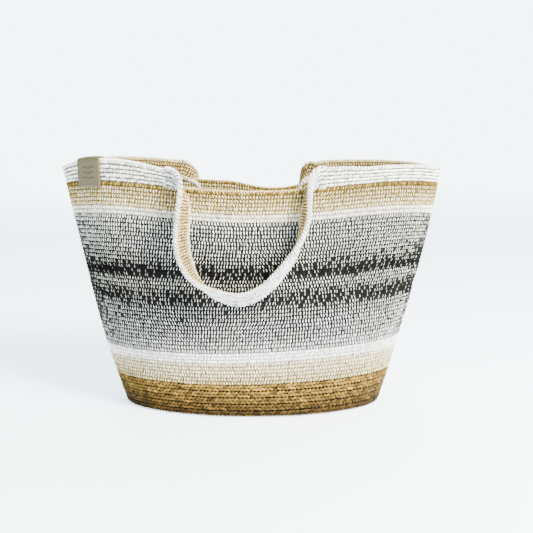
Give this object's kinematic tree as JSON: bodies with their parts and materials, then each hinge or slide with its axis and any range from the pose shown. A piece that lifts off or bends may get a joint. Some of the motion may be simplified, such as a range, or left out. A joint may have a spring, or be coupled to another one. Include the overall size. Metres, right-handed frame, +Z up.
{
  "type": "beach bag",
  "caption": "Crocheted oval beach tote in jute and striped cotton yarn, with a sagging rim and strap handles that hang outside and swing up over the mouth.",
  "frame": {"origin": "centre of the underside, on the surface the bag stands on", "axes": "+X along the bag's length, -Y the front, +Z up"},
  "size_m": [0.5038, 0.2702, 0.3324],
  "materials": {
    "jute_yarn": "matte",
    "cream_cotton": "matte",
    "white_cotton": "matte",
    "grey_cotton": "matte",
    "charcoal_cotton": "matte",
    "gold_cotton": "matte",
    "handle_cotton": "matte",
    "label_leather": "matte",
    "label_thread": "matte"
  },
  "bodies": {
    "bag": {"base_panel": "jute_yarn", "jute_wall": "jute_yarn", "cream_band_lower": "cream_cotton", "white_band_lower": "white_cotton", "grey_band_lower": "grey_cotton", "charcoal_band": "charcoal_cotton", "grey_band_upper": "grey_cotton", "white_band_upper": "white_cotton", "gold_rim_band": "gold_cotton", "rim_band_left": "white_cotton", "rim_band_right": "white_cotton", "label_patch": "label_leather", "label_stitches": "label_thread", "front_left_handle_root": "handle_cotton", "front_right_handle_root": "handle_cotton", "back_left_handle_root": "handle_cotton", "back_right_handle_root": "handle_cotton"},
    "front_handle": {"front_handle_strap": "handle_cotton"},
    "back_handle": {"back_handle_strap": "handle_cotton"}
  },
  "joints": [
    {"name": "front_handle_swing", "type": "hinge", "parent": "bag", "child": "front_handle", "pos_m": [0, -0.103, 0.311], "axis": [-1, 0, 0], "range_deg": [0, 200], "deforming": ["front_left_handle_root", "front_right_handle_root"]},
    {"name": "back_handle_swing", "type": "hinge", "parent": "bag", "child": "back_handle", "pos_m": [0, 0.103, 0.311], "axis": [1, 0, 0], "range_deg": [0, 200], "deforming": ["back_left_handle_root", "back_right_handle_root"]}
  ]
}
